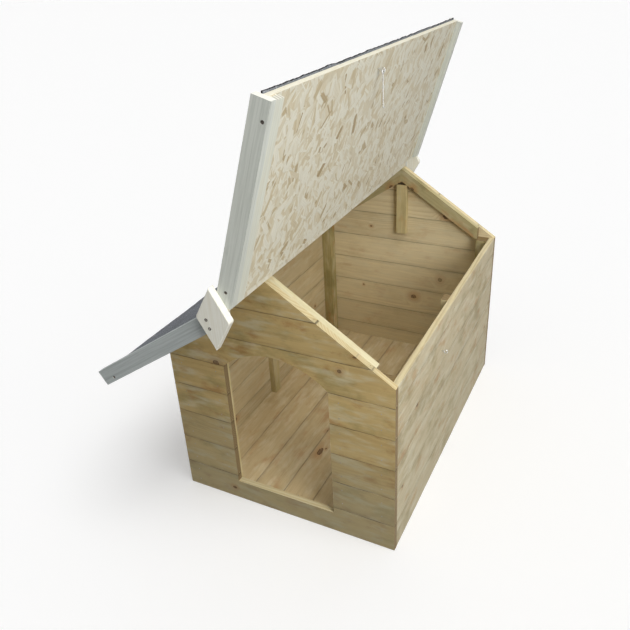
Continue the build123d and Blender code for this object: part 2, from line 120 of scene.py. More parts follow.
class Wiring:
    """Adds shading nodes to one material and joins them."""

    def __init__(self, name: str) -> None:
        """Start a material with an empty tree and one surface shader.

        Args:
            name: The material's name.
        """
        self.material = bpy.data.materials.new(name)
        self.material.use_nodes = True
        self.tree = self.material.node_tree
        self.tree.nodes.clear()
        self.shader = self.add("ShaderNodeBsdfPrincipled")
        output = self.add("ShaderNodeOutputMaterial")
        self.tree.links.new(self.shader.outputs["BSDF"], output.inputs["Surface"])
        self.places = self.add("ShaderNodeTexCoord")

    def add(self, kind: str, **settings: object) -> bpy.types.Node:
        """Add a node and set its properties.

        Args:
            kind: The node's type name.
            settings: Properties to set on it.

        Returns:
            The new node.
        """
        node = self.tree.nodes.new(kind)
        for key, value in settings.items():
            setattr(node, key, value)
        return node

    def feed(self, socket: bpy.types.NodeSocket, value: object) -> None:
        """Join a socket to another socket, or set it to a constant.

        Args:
            socket: The input to fill.
            value: A socket, a number, or a tuple of numbers.
        """
        if isinstance(value, bpy.types.NodeSocket):
            self.tree.links.new(value, socket)
        elif isinstance(value, tuple) and socket.type == "RGBA":
            socket.default_value = (*value[:3], 1.0)
        else:
            socket.default_value = value

    def number(self, operation: str, *values: Value) -> bpy.types.NodeSocket:
        """Result of a number operation.

        Args:
            operation: Name of the operation, such as SQRT.
            values: Its inputs in order.

        Returns:
            The output socket.
        """
        node = self.add("ShaderNodeMath", operation=operation)
        for socket, value in zip(node.inputs, values):
            self.feed(socket, value)
        return node.outputs[0]

    def plus(self, first: Value, second: Value) -> bpy.types.NodeSocket:
        """Sum of two numbers."""
        return self.number("ADD", first, second)

    def less(self, first: Value, second: Value) -> bpy.types.NodeSocket:
        """The first number less the second."""
        return self.number("SUBTRACT", first, second)

    def times(self, first: Value, second: Value) -> bpy.types.NodeSocket:
        """Product of two numbers."""
        return self.number("MULTIPLY", first, second)

    def over(self, first: Value, second: Value) -> bpy.types.NodeSocket:
        """The first number divided by the second."""
        return self.number("DIVIDE", first, second)

    def times_plus(self, first: Value, second: Value, third: Value) -> bpy.types.NodeSocket:
        """Product of two numbers, plus a third."""
        return self.number("MULTIPLY_ADD", first, second, third)

    def length(self, first: Value, second: Value) -> bpy.types.NodeSocket:
        """Length of a step of two square parts."""
        return self.number("SQRT", self.times_plus(first, first, self.times(second, second)))

    def along(self, point: bpy.types.NodeSocket, direction: Direction) -> bpy.types.NodeSocket:
        """How far a point lies along a direction.

        Args:
            point: The point or vector.
            direction: The direction, of length 1.

        Returns:
            The distance.
        """
        node = self.add("ShaderNodeVectorMath", operation="DOT_PRODUCT")
        self.feed(node.inputs[0], point)
        node.inputs[1].default_value = direction
        return node.outputs["Value"]

    def facing(self, direction: Direction) -> bpy.types.NodeSocket:
        """How squarely the surface faces along a line, from 0 to 1."""
        return self.number("ABSOLUTE", self.along(self.places.outputs["Normal"], direction))

    def triple(self, x: Value, y: Value, z: Value = 0.0) -> bpy.types.NodeSocket:
        """Join three numbers into a vector.

        Args:
            x: Its first part.
            y: Its second part.
            z: Its third part.

        Returns:
            The vector.
        """
        node = self.add("ShaderNodeCombineXYZ")
        for socket, value in zip(node.inputs, (x, y, z)):
            self.feed(socket, value)
        return node.outputs[0]

    def parts(self, value: bpy.types.NodeSocket, kind: Parts) -> tuple[bpy.types.NodeSocket, ...]:
        """Take a vector or a colour apart.

        Args:
            value: What is taken apart.
            kind: Which of the two it is.

        Returns:
            Its three parts.
        """
        node = self.add(kind.value)
        self.feed(node.inputs[0], value)
        return tuple(node.outputs)[:3]

    def scaled(self, triple: Sequence[Value], scales: Sequence[float]) -> bpy.types.NodeSocket:
        """A vector whose parts are each multiplied by a constant."""
        return self.triple(*[self.times(value, scale) for value, scale in zip(triple, scales)])

    def noise(
        self, where: bpy.types.NodeSocket, scale: float, detail: float = 2.0, roughness: float = 0.5
    ) -> bpy.types.NodeSocket:
        """Soft noise between 0 and 1.

        Args:
            where: The vector it is read at.
            scale: Its frequency.
            detail: Its number of octaves.
            roughness: The strength of the finer octaves.

        Returns:
            The noise value.
        """
        node = self.add("ShaderNodeTexNoise")
        self.feed(node.inputs["Vector"], where)
        self.feed(node.inputs["Scale"], scale)
        self.feed(node.inputs["Detail"], detail)
        self.feed(node.inputs["Roughness"], roughness)
        return node.outputs[0]

    def cells(
        self, where: bpy.types.NodeSocket, dimensions: str = "2D", scale: float = 1.0
    ) -> bpy.types.Node:
        """Add a cell pattern.

        Args:
            where: The vector it is read at.
            dimensions: 2D or 3D.
            scale: Its frequency.

        Returns:
            The node, whose outputs are distance, colour and the cell's place.
        """
        node = self.add("ShaderNodeTexVoronoi", voronoi_dimensions=dimensions)
        self.feed(node.inputs["Vector"], where)
        self.feed(node.inputs["Scale"], scale)
        return node

    def chance(self, value: Value, seed: float) -> bpy.types.NodeSocket:
        """A steady random number for a value.

        Args:
            value: What it belongs to, such as a board's number.
            seed: Tells several numbers for one value apart.

        Returns:
            The number, between 0 and 1.
        """
        node = self.add("ShaderNodeTexWhiteNoise", noise_dimensions="1D")
        self.feed(node.inputs["W"], self.plus(value, seed))
        return node.outputs["Value"]

    def fade(
        self, value: Value, start: float, end: float, low: Value = 0.0, high: Value = 1.0
    ) -> bpy.types.NodeSocket:
        """Smooth change from one level to another.

        Args:
            value: What drives the change.
            start: Where the change begins.
            end: Where the change is complete.
            low: The level before the change.
            high: The level after the change.

        Returns:
            The level.
        """
        node = self.add("ShaderNodeMapRange", interpolation_type="SMOOTHSTEP")
        for socket, number in zip(node.inputs, (value, start, end, low, high)):
            self.feed(socket, number)
        return node.outputs[0]

    def ramp(self, value: Value, steps: Steps) -> bpy.types.NodeSocket:
        """Colour read from steps at a value between 0 and 1.

        Args:
            value: The place on the ramp.
            steps: Pairs of place and colour.

        Returns:
            The colour.
        """
        node = self.add("ShaderNodeValToRGB")
        self.feed(node.inputs[0], value)
        elements = node.color_ramp.elements
        while len(elements) < len(steps):
            elements.new(0.5)
        for element, (place, colour) in zip(elements, steps):
            element.position = place
            element.color = (*colour, 1.0)
        return node.outputs[0]

    def mix(self, factor: Value, first: object, second: object, blend: str = "MIX") -> bpy.types.NodeSocket:
        """Blend of two colours.

        Args:
            factor: The share of the second.
            first: A colour or a colour socket.
            second: A colour or a colour socket.
            blend: How the second goes over the first.

        Returns:
            The blended colour.
        """
        node = self.add("ShaderNodeMix", data_type="RGBA", blend_type=blend)
        self.feed(node.inputs["Factor"], factor)
        self.feed(node.inputs[6], first)
        self.feed(node.inputs[7], second)
        return node.outputs[2]

    def shaded(self, colour: object, level: bpy.types.NodeSocket) -> bpy.types.NodeSocket:
        """Make a colour lighter or darker.

        Args:
            colour: The colour.
            level: What it is multiplied by, around 1.

        Returns:
            The new colour.
        """
        node = self.add("ShaderNodeVectorMath", operation="SCALE")
        self.feed(node.inputs[0], colour)
        self.feed(node.inputs["Scale"], level)
        return node.outputs[0]

    def raise_by(self, height: bpy.types.NodeSocket, distance: float, strength: float = 1.0) -> None:
        """Give the surface relief.

        Args:
            height: Relief between 0 and 1.
            distance: Its depth in metres.
            strength: Its strength.
        """
        node = self.add("ShaderNodeBump")
        node.inputs["Strength"].default_value = strength
        node.inputs["Distance"].default_value = distance
        self.feed(node.inputs["Height"], height)
        self.feed(self.shader.inputs["Normal"], node.outputs["Normal"])


@dataclass(frozen=True)
class Blotch:
    """A soft random pattern drawn out along a piece's fibres."""

    rates: tuple[float, float, float]
    start: float = 0.0
    end: float = 1.0
    scale: float = 1.0
    detail: float = 2.0
    roughness: float = 0.5

    def noise(self, w: Wiring, here: Sequence[Value]) -> bpy.types.NodeSocket:
        """The bare pattern, between 0 and 1."""
        return w.noise(w.scaled(here, self.rates), self.scale, self.detail, self.roughness)

    def level(self, w: Wiring, here: Sequence[Value], low: Value, high: Value) -> bpy.types.NodeSocket:
        """The pattern as a level.

        Args:
            w: The material being wired.
            here: Place along, across and into the piece.
            low: The level where the pattern is below its start.
            high: The level where the pattern is past its end.

        Returns:
            The level.
        """
        return w.fade(self.noise(w, here), self.start, self.end, low, high)


@dataclass(frozen=True)
class Lay:
    """How a piece lies: along its fibres, across them, and into its thickness.

    Rows of boards start at first, each cover wide; a cover of 0 means no rows.
    """

    along: Direction
    across: Direction
    depth: Direction
    middle: float = 0.0
    first: float = 0.0
    cover: float = 0.0


# ----------------------------------------------------------------- finishes


@dataclass(frozen=True)
class Board:
    """One board of a row, as its material sees it."""

    row: bpy.types.NodeSocket
    centre: Value
    along: bpy.types.NodeSocket
    shifted: bpy.types.NodeSocket
    across: bpy.types.NodeSocket
    depth: bpy.types.NodeSocket

    @property
    def here(self) -> tuple[Value, Value, Value]:
        """Place in the tree the board was sawn from."""
        return (self.shifted, self.across, self.depth)


@dataclass(frozen=True)
class Pine:
    """Sawn softwood with growth rings, fibres, knots and a treatment stain."""

    name: str
    pale: Colour
    ring: Colour
    stain: Colour
    stained: float = 0.35
    knot: Colour = warm(74, 50, 32)
    # Lighter colour of a board's narrow edges, and its share: partly fresher sawn wood, partly a painted
    # highlight of edges lit from above.
    sawn_edge_and_highlight: Colour = warm(214, 200, 158)
    sawn_edge_and_highlight_share: float = 0.7
    end: Colour = warm(122, 100, 65)
    rust: Colour = warm(176, 118, 62)
    chalk: Colour = warm(214, 204, 172)
    chalked: float = 0.4
    # A greyer, darker colour towards the bottom of the wall, its strength, and the heights over which it
    # fades in.
    low_grey: Colour = warm(146, 142, 118)
    low_grey_share: float = 0.0
    low_grey_height: tuple[float, float] = (0.34, 0.04)
    joint: float = 0.62
    spacing: float = 0.0058
    knots: float = 0.22
    knot_rates: tuple[float, float] = (5.5, 13.0)
    knot_row_step: float = 7.0
    tone: float = 0.06
    seed: float = 0.0

    SWAY: ClassVar[Blotch] = Blotch((1.3, 4.0, 4.0))
    RIPPLE: ClassVar[Blotch] = Blotch((9.0, 48.0, 48.0))
    RING_STRENGTH: ClassVar[Blotch] = Blotch((1.7, 11.0, 11.0), 0.35, 0.68)
    STAINS: ClassVar[Blotch] = Blotch((8.5, 15.0, 15.0), 0.46, 0.7, 1.0, 5.0, 0.62)
    RUSTS: ClassVar[Blotch] = Blotch((11.0, 20.0, 20.0), 0.52, 0.74, 1.4, 4.0, 0.6)
    CHALKS: ClassVar[Blotch] = Blotch((6.5, 24.0, 24.0), 0.46, 0.72, 1.7, 3.0, 0.6)
    FIBRES: ClassVar[Blotch] = Blotch((18.0, 640.0, 640.0), 0.25, 0.75, 1.0, 2.0, 0.7)
    STREAKS: ClassVar[Blotch] = Blotch((5.0, 130.0, 130.0), 0.34, 0.72, 1.0, 3.0, 0.6)
    SOAKS: ClassVar[Blotch] = Blotch((9.0, 3.0, 3.0), 0.35, 0.7, 1.3, 3.0, 0.6)

    def material(self, lay: Lay) -> bpy.types.Material:
        """Build the material for pieces that lie in one way.

        Args:
            lay: Directions of the fibres and of the rows.

        Returns:
            The material.
        """
        w = Wiring(self.name)
        board = self._board(w, lay)
        knot_mask, knot_push, knot_glow = self._knots(w, board)
        rings = self._rings(w, lay, board, knot_push)
        fibre = self.FIBRES.noise(w, board.here)
        colour = self._weathered(w, board, rings, fibre)
        colour = w.mix(knot_glow, colour, self.rust)
        colour = w.mix(knot_mask, colour, self.knot)
        # Narrow faces take the lighter edge colour: partly fresher sawn wood, partly a painted highlight of
        # edges lit from above.
        sawn_edge_and_highlight = w.fade(w.facing(lay.depth), 0.66, 0.4, 0.0, self.sawn_edge_and_highlight_share)
        colour = w.mix(sawn_edge_and_highlight, colour, w.mix(w.times(rings, 0.5), self.sawn_edge_and_highlight, self.ring))
        sawn = w.fade(w.facing(lay.along), 0.6, 0.9, 0.0, 0.85)
        colour = w.mix(sawn, colour, w.mix(w.times(rings, 0.6), self.end, self.knot))
        if lay.cover:
            colour = self._jointed(w, lay, board, colour)
        w.feed(w.shader.inputs["Base Color"], colour)
        w.feed(w.shader.inputs["Roughness"], w.fade(rings, 0.0, 1.0, 0.74, 0.6))
        w.shader.inputs["Specular IOR Level"].default_value = 0.3
        w.raise_by(w.times_plus(fibre, 0.5, w.times(rings, 0.5)), 0.0004, 0.6)
        return w.material

    def _board(self, w: Wiring, lay: Lay) -> Board:
        """Find the board that a point belongs to.

        Args:
            w: The material being wired.
            lay: Directions of the fibres and of the rows.

        Returns:
            The board.
        """
        point = w.places.outputs["Object"]
        along, across, depth = (w.along(point, way) for way in (lay.along, lay.across, lay.depth))
        if lay.cover:
            row = w.number("FLOOR", w.over(w.less(across, lay.first), lay.cover))
            centre: Value = w.times_plus(w.plus(row, 0.5), lay.cover, lay.first)
        else:
            row = w.number("FLOOR", w.times(across, 4.0))
            centre = 0.0
        shifted = w.times_plus(w.chance(row, self.seed + 3.3), 23.0, along)
        return Board(row, centre, along, shifted, across, depth)

    def _rings(
        self, w: Wiring, lay: Lay, board: Board, push: bpy.types.NodeSocket
    ) -> bpy.types.NodeSocket:
        """Growth rings around each board's own pith.

        Args:
            w: The material being wired.
            lay: Directions of the fibres and of the rows.
            board: The board.
            push: How far the knots push the rings aside.

        Returns:
            How late in its year the wood grew, from 0 to 1.
        """
        pith_across = w.times_plus(w.chance(board.row, self.seed + 7.1), 0.11, w.less(board.centre, 0.055))
        pith_depth = w.times_plus(w.chance(board.row, self.seed + 11.9), 0.10, lay.middle + 0.015)
        sway = w.less(self.SWAY.noise(w, board.here), 0.5)
        ripple = w.less(self.RIPPLE.noise(w, board.here), 0.5)
        radius = w.length(w.less(board.across, pith_across), w.less(board.depth, pith_depth))
        radius = w.times_plus(sway, 0.05, radius)
        radius = w.times_plus(ripple, 0.0022, radius)
        radius = w.plus(radius, push)
        pitch = w.times_plus(w.chance(board.row, self.seed + 19.4), self.spacing, self.spacing * 0.6)
        growth = w.number("FRACT", w.over(radius, pitch))
        late = [(0.0, BLACK), (0.35, grey(0.12)), (0.78, WHITE), (0.9, grey(0.8)), (1.0, BLACK)]
        return w.ramp(growth, late)

    def _weathered(
        self, w: Wiring, board: Board, rings: bpy.types.NodeSocket, fibre: bpy.types.NodeSocket
    ) -> bpy.types.NodeSocket:
        """Colour of a board's wide face without its knots.

        Args:
            w: The material being wired.
            board: The board.
            rings: Its growth rings.
            fibre: Its fibres.

        Returns:
            The colour.
        """
        here = board.here
        strength = self.RING_STRENGTH.level(w, here, 0.05, 0.38)
        colour = w.mix(w.times(rings, strength), self.pale, self.ring)
        colour = w.mix(self.STAINS.level(w, here, 0.0, self.stained), colour, self.stain)
        colour = w.mix(self.RUSTS.level(w, here, 0.0, self.stained), colour, self.rust)
        colour = w.mix(self.CHALKS.level(w, here, 0.0, self.chalked), colour, self.chalk)
        colour = w.shaded(colour, w.fade(fibre, self.FIBRES.start, self.FIBRES.end, 0.95, 1.03))
        colour = w.shaded(colour, self.STREAKS.level(w, here, 0.95, 1.03))
        own = w.chance(board.row, self.seed + 29.2)
        colour = w.shaded(colour, w.times_plus(own, 2 * self.tone, 1 - self.tone))
        # Greyer and darker towards the bottom of the wall, with a wavering upper edge.
        if self.low_grey_share:
            sway = w.less(self.SWAY.noise(w, here), 0.5)
            height = w.times_plus(sway, 0.3, w.along(w.places.outputs["Object"], UPRIGHT))
            colour = w.mix(w.fade(height, *self.low_grey_height, 0.0, self.low_grey_share), colour, self.low_grey)
        return colour

    def _jointed(self, w: Wiring, lay: Lay, board: Board, colour: Value) -> bpy.types.NodeSocket:
        """Darken a board's colour toward its joints.

        Args:
            w: The material being wired.
            lay: Directions of the fibres and of the rows.
            board: The board.
            colour: Its colour so far.

        Returns:
            The colour.
        """
        edge = w.number("ABSOLUTE", w.less(board.across, board.centre))
        near = w.less(lay.cover / 2, edge)
        soak = self.SOAKS.level(w, board.here, 0.97, 0.84)
        colour = w.shaded(colour, w.fade(near, 0.001, 0.014, soak, 1.0))
        open_or_shut = w.noise(w.triple(w.times(board.along, 14.0), board.row), 1.0)
        gap = w.fade(open_or_shut, 0.35, 0.65, self.joint, 0.8)
        return w.shaded(colour, w.fade(near, 0.0005, 0.0022, gap, 1.0))

    def _knots(
        self, w: Wiring, board: Board
    ) -> tuple[bpy.types.NodeSocket, bpy.types.NodeSocket, bpy.types.NodeSocket]:
        """Knots scattered along the boards.

        Args:
            w: The material being wired.
            board: The board.

        Returns:
            The knot's mask, how far it pushes the rings aside, and the rusty wood around it.
        """
        rate_along, rate_across = self.knot_rates
        lane = w.times_plus(board.row, self.knot_row_step, w.times(board.across, rate_across))
        cell = w.cells(w.triple(w.times(board.shifted, rate_along), lane))
        spot_along, spot_across, _ = w.parts(cell.outputs["Position"], Parts.PLACE)
        to_along = w.less(w.times(spot_along, 1 / rate_along), board.shifted)
        in_row = w.less(spot_across, w.times(board.row, self.knot_row_step))
        to_across = w.less(w.times(in_row, 1 / rate_across), board.across)
        luck, luck_size, luck_shape = w.parts(cell.outputs["Color"], Parts.COLOUR)
        squeeze = w.times_plus(luck_shape, 0.75, 0.4)
        reach = w.length(w.times(to_along, squeeze), to_across)
        crumbs = w.triple(w.times(to_along, 190.0), w.times(to_across, 190.0), board.row)
        rough = w.noise(crumbs, 1.0, 3.0, 0.6)
        there = w.fade(luck, 1 - self.knots, 1 - self.knots + 0.02)
        size = w.times_plus(luck_size, 0.0055, 0.002)
        share = w.plus(w.over(reach, size), w.times_plus(rough, 0.9, -0.45))
        bark = w.times(w.fade(share, 0.66, 0.86), w.fade(share, 1.12, 0.98))
        core = w.times_plus(w.fade(rough, 0.4, 0.62), 0.34, 0.64)
        solid = w.times(w.fade(share, 1.0, 0.75), core)
        mask = w.times(w.number("MAXIMUM", bark, solid), w.times(there, 0.86))
        push = w.times(w.fade(share, 6.0, 0.0), w.times(there, 0.02))
        glow = w.times(w.fade(share, 4.2, 0.9), w.times(there, 0.42))
        return mask, push, glow


@dataclass(frozen=True)
class StrandBoard:
    """Pressed board of overlapping wood strands."""

    name: str = "strand_board"
    lightest: Colour = warm(226, 222, 204)
    light: Colour = warm(216, 208, 184)
    tan: Colour = warm(202, 188, 156)
    dark: Colour = warm(168, 148, 112)
    layers: int = 6
    half_run: tuple[float, float] = (0.012, 0.022)
    half_lie: tuple[float, float] = (0.002, 0.0065)
    offsets: tuple[float, float] = (5.7, 9.1)

    GROUND: ClassVar[Blotch] = Blotch((30.0, 90.0, 60.0), detail=3.0)
    PLIES: ClassVar[Blotch] = Blotch((24.0, 24.0, 900.0), detail=3.0, roughness=0.7)

    def material(self, lay: Lay) -> bpy.types.Material:
        """Build the material for a panel that lies in one way.

        Args:
            lay: Directions in the panel.

        Returns:
            The material.
        """
        w = Wiring(self.name)
        point = w.places.outputs["Object"]
        u, v, depth = (w.along(point, way) for way in (lay.along, lay.across, lay.depth))
        ground = self.GROUND.noise(w, (u, v, depth))
        colour = w.ramp(ground, [(0.3, self.tan), (0.7, self.light)])
        height: Value = 0.0
        for layer in range(self.layers):
            colour, height = self._strands(w, u, v, layer, colour, height)
        plies = self.PLIES.noise(w, (u, v, depth))
        # The panel's cut edges show their plies in near-white: partly the plies' own pale wood, partly a
        # painted highlight of edges lit from above.
        edge = w.ramp(plies, [(0.3, self.tan), (0.5, self.lightest), (0.75, self.lightest)])
        colour = w.mix(w.fade(w.facing(lay.depth), 0.7, 0.4), colour, edge)
        w.feed(w.shader.inputs["Base Color"], colour)
        w.shader.inputs["Roughness"].default_value = 0.62
        w.shader.inputs["Specular IOR Level"].default_value = 0.35
        w.raise_by(height, 0.0009, 0.7)
        return w.material

    def _strands(
        self, w: Wiring, u: Value, v: Value, layer: int, below: Value, height: Value
    ) -> tuple[bpy.types.NodeSocket, bpy.types.NodeSocket]:
        """Lay one layer of strands over those below it.

        Args:
            w: The material being wired.
            u: Place along the panel.
            v: Place across it.
            layer: The layer's number.
            below: Colour of the layers below.
            height: Height of the layers below.

        Returns:
            The colour and the height with this layer on top.
        """
        rate_u = 17.0 + 4.0 * (layer % 3)
        rate_v = 31.0 + 6.0 * ((layer + 1) % 3)
        off_u, off_v = (offset * layer for offset in self.offsets)
        cell = w.cells(w.triple(w.times_plus(u, rate_u, off_u), w.times_plus(v, rate_v, off_v)))
        spot_u, spot_v, _ = w.parts(cell.outputs["Position"], Parts.PLACE)
        to_u = w.less(u, w.over(w.less(spot_u, off_u), rate_u))
        to_v = w.less(v, w.over(w.less(spot_v, off_v), rate_v))
        luck_turn, luck_run, luck_lie = w.parts(cell.outputs["Color"], Parts.COLOUR)
        turn = w.times_plus(luck_turn, 2.6, -1.3)
        cosine, sine = w.number("COSINE", turn), w.number("SINE", turn)
        run = w.plus(w.times(to_u, cosine), w.times(to_v, sine))
        lie = w.less(w.times(to_v, cosine), w.times(to_u, sine))
        torn = w.noise(w.triple(w.times(run, 25.0), w.times(lie, 420.0), 3.1 * layer), 1.0)
        fray = w.times_plus(torn, 0.022, -0.011)
        half_run = w.times_plus(luck_run, self.half_run[1], self.half_run[0])
        half_lie = w.times_plus(luck_lie, self.half_lie[1], self.half_lie[0])
        inside_run = w.less(half_run, w.number("ABSOLUTE", w.plus(run, fray)))
        inside_lie = w.less(half_lie, w.number("ABSOLUTE", w.times_plus(fray, 0.12, lie)))
        mask = w.times(w.fade(inside_run, 0.0, 0.004), w.fade(inside_lie, 0.0, 0.0012))
        tints = (self.lightest, self.lightest, self.light, self.tan, self.dark)
        tint = w.ramp(w.chance(luck_turn, 17.0 * layer), list(zip((0.0, 0.45, 0.75, 0.93, 1.0), tints)))
        grain_place = w.triple(w.times(run, 22.0), w.times(lie, 520.0), 1.7 * layer)
        grain = w.noise(grain_place, 1.0, 2.0, 0.7)
        tint = w.shaded(tint, w.fade(grain, 0.25, 0.75, 0.88, 1.05))
        # Painted shade: a thin darker line along each strand's long edges, where it steps over the strands
        # below.
        tint = w.shaded(tint, w.fade(inside_lie, 0.0, 0.0009, 0.86, 1.0))
        lifted = w.times_plus(grain, 0.12, w.times_plus(luck_lie, 0.5, 0.3))
        level = w.plus(w.times(mask, lifted), w.times(w.less(1.0, mask), height))
        return w.mix(mask, below, tint), level


@dataclass(frozen=True)
class MineralFelt:
    """Bitumen felt faced with fine mineral granules."""

    name: str = "mineral_felt"
    dark: Colour = warm(88, 92, 97)
    mid: Colour = warm(122, 126, 132)
    light: Colour = warm(162, 165, 169)
    bitumen: Colour = warm(34, 34, 36)
    grit_rate: float = 620.0

    def material(self, lay: Lay) -> bpy.types.Material:
        """Build the material.

        Args:
            lay: Directions in the sheet.

        Returns:
            The material.
        """
        w = Wiring(self.name)
        point = w.places.outputs["Object"]
        grit = w.cells(point, "3D", self.grit_rate)
        speck, _, _ = w.parts(grit.outputs["Color"], Parts.COLOUR)
        specks = [(0.0, self.dark), (0.35, self.mid), (0.75, self.mid), (1.0, self.light)]
        colour = w.ramp(speck, specks)
        cloud = w.noise(point, 9.0, 4.0, 0.6)
        colour = w.shaded(colour, w.fade(cloud, 0.3, 0.7, 0.88, 1.1))
        bald = w.noise(point, 190.0, 3.0, 0.7)
        colour = w.mix(w.fade(bald, 0.64, 0.78, 0.0, 0.6), colour, self.bitumen)
        colour = w.mix(w.fade(w.facing(lay.depth), 0.75, 0.45), colour, self.bitumen)
        w.feed(w.shader.inputs["Base Color"], colour)
        w.shader.inputs["Roughness"].default_value = 0.93
        w.shader.inputs["Specular IOR Level"].default_value = 0.25
        w.raise_by(w.less(1.0, grit.outputs["Distance"]), 0.0007, 0.8)
        return w.material


@dataclass(frozen=True)
class ThinPaint:
    """A thin coat of paint on softwood, with the grain and knots showing through."""

    name: str
    coat: Colour = warm(196, 200, 190)
    shadow: Colour = warm(160, 165, 154)
    wood: Colour = warm(232, 224, 200)
    streaks: float = 0.6
    seed: float = 0.0

    SWAY: ClassVar[Blotch] = Blotch((4.0, 22.0, 22.0))
    STREAKS: ClassVar[Blotch] = Blotch((7.0, 260.0, 260.0), 0.35, 0.75, 1.0, 3.0, 0.65)
    BLOTS: ClassVar[Blotch] = Blotch((11.0, 40.0, 40.0), 0.6, 0.78, 1.0, 3.0, 0.6)
    THIN_SPOTS: ClassVar[Blotch] = Blotch((16.0, 60.0, 60.0), 0.62, 0.8, 1.0, 4.0, 0.7)

    def material(self, lay: Lay) -> bpy.types.Material:
        """Build the material for pieces that lie in one way.

        Args:
            lay: Directions of the fibres.

        Returns:
            The material.
        """
        w = Wiring(self.name)
        point = w.places.outputs["Object"]
        along, across, depth = (w.along(point, way) for way in (lay.along, lay.across, lay.depth))
        here = (w.plus(along, self.seed), across, depth)
        sway = self.SWAY.noise(w, here)
        bands = w.number("FRACT", w.times_plus(sway, 5.0, w.times(across, 170.0)))
        rings = w.ramp(bands, [(0.0, BLACK), (0.7, grey(0.7)), (0.9, WHITE), (1.0, BLACK)])
        streak = self.STREAKS.noise(w, here)
        streaked = w.fade(streak, self.STREAKS.start, self.STREAKS.end)
        colour = w.mix(w.times(streaked, self.streaks), self.coat, self.shadow)
        colour = w.mix(w.times(rings, 0.22), colour, self.shadow)
        colour = w.mix(self.BLOTS.level(w, here, 0.0, 0.45), colour, self.shadow)
        colour = w.mix(self.THIN_SPOTS.level(w, here, 0.0, 0.5), colour, self.wood)
        colour = w.mix(w.fade(w.facing(lay.along), 0.6, 0.85, 0.0, 0.9), colour, self.wood)
        w.feed(w.shader.inputs["Base Color"], colour)
        w.feed(w.shader.inputs["Roughness"], w.fade(streak, 0.3, 0.8, 0.5, 0.66))
        w.raise_by(w.times_plus(streak, 0.5, w.times(rings, 0.5)), 0.0003, 0.5)
        return w.material


@dataclass(frozen=True)
class Plated:
    """Plated or galvanised steel with a dull, uneven surface."""

    name: str
    bright: Colour
    dull: Colour
    smooth: float = 0.3
    rough: float = 0.5

    def material(self, lay: Lay) -> bpy.types.Material:
        """Build the material.

        Args:
            lay: Directions of the piece; not used, as a plated surface has none.

        Returns:
            The material.
        """
        w = Wiring(self.name)
        point = w.places.outputs["Object"]
        spangle = w.noise(point, 260.0, 3.0, 0.6)
        w.feed(w.shader.inputs["Base Color"], w.mix(w.fade(spangle, 0.35, 0.7), self.bright, self.dull))
        w.feed(w.shader.inputs["Roughness"], w.fade(spangle, 0.3, 0.7, self.smooth, self.rough))
        w.shader.inputs["Metallic"].default_value = 0.9
        w.raise_by(w.noise(point, 900.0, 2.0), 0.0001, 0.3)
        return w.material


# ------------------------------------------------------------ house's layout


class Half(Enum):
    """The two halves of the roof, by the prefix of their nodes' names."""

    FIXED = "roof"
    LID = "lid"

    @property
    def body(self) -> str:
        """The CAD body that this half belongs to."""
        return "lid" if self is Half.LID else "house"


@dataclass
class Layout:
    """Places and directions of the house, read from its frame."""

    pitch: float
    lid_tilt: float
    hinge: Vector

    @classmethod
    def read(cls, frame: dict) -> "Layout":
        """Work the layout out from the frame's boxes and joints.


        Returns:
            The layout.
        """
        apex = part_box("front_apex_board")[1]
        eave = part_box("left_boards")[0]
        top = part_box("left_eave_board")[1]
        pitch = math.atan2(apex.z - top.z, -eave.x)
        joint = next(joint for joint in frame["joints"] if joint["name"] == "lid_hinge")
        closed = -math.radians(joint["range_deg"][0])
        return cls(pitch, closed - pitch, Vector(joint["pos_m"]))

    def roof_down(self, half: Half) -> Vector:
        """Direction from the ridge to the eave.

        Args:
            half: The roof half.

        Returns:
            The direction.
        """
        if half is Half.LID:
            return Vector((math.cos(self.lid_tilt), 0.0, math.sin(self.lid_tilt)))
        return Vector((-math.cos(self.pitch), 0.0, -math.sin(self.pitch)))

    def roof_out(self, half: Half) -> Vector:
        """Direction square to the slope, on its felt side.

        Args:
            half: The roof half.

        Returns:
            The direction.
        """
        lean = self.lid_tilt if half is Half.LID else self.pitch
        return Vector((-math.sin(lean), 0.0, math.cos(lean)))

    def roof_place(self, half: Half) -> Matrix:
        """Where one roof half's own axes lie: down the slope, sideways and out of the felt side.

        Args:
            half: The roof half.

        Returns:
            The matrix from those axes to the row frame.
        """
        down, out = self.roof_down(half), self.roof_out(half)
        turn = Matrix((down, out.cross(down), out)).transposed()
        return Matrix.Translation(self.hinge) @ turn.to_4x4()


def dress(frame: dict, material: bpy.types.Material, *nodes: str) -> None:
    """Give carried-over nodes a material.

    Args:
        material: The finish.
        nodes: Names of the nodes.
    """
    for node in nodes:
        slots = frame["nodes"][node].data.materials
        slots.clear()
        slots.append(material)
        LOG.info("dressed %s in %s", node, material.name)


# ------------------------------------------------------------ modelling steps


def start_piece(add: Callable[..., set], name: str, **where: object) -> bpy.types.Object:
    """Add a primitive with nothing else selected.

    Args:
        add: The operator that adds it.
        name: The piece's name.
        where: The operator's settings.

    Returns:
        The new object.
    """
    bpy.ops.object.select_all(action="DESELECT")
    add(**where)
    piece = bpy.context.active_object
    piece.name = name
    bpy.ops.object.transform_apply(location=True, rotation=True, scale=True)
    return piece


def pick_edges(piece: bpy.types.Object, wanted: Callable[[Vector, Vector], bool]) -> None:
    """Go into edit mode with only the wanted edges selected.

    Args:
        piece: The active object.
        wanted: Says from an edge's two ends whether it is selected.
    """
    bpy.ops.object.mode_set(mode="EDIT")
    bpy.ops.mesh.select_mode(type="EDGE")
    bpy.ops.mesh.select_all(action="DESELECT")
    bpy.ops.object.mode_set(mode="OBJECT")
    points = piece.data.vertices
    for edge in piece.data.edges:
        edge.select = wanted(points[edge.vertices[0]].co, points[edge.vertices[1]].co)
    bpy.ops.object.mode_set(mode="EDIT")


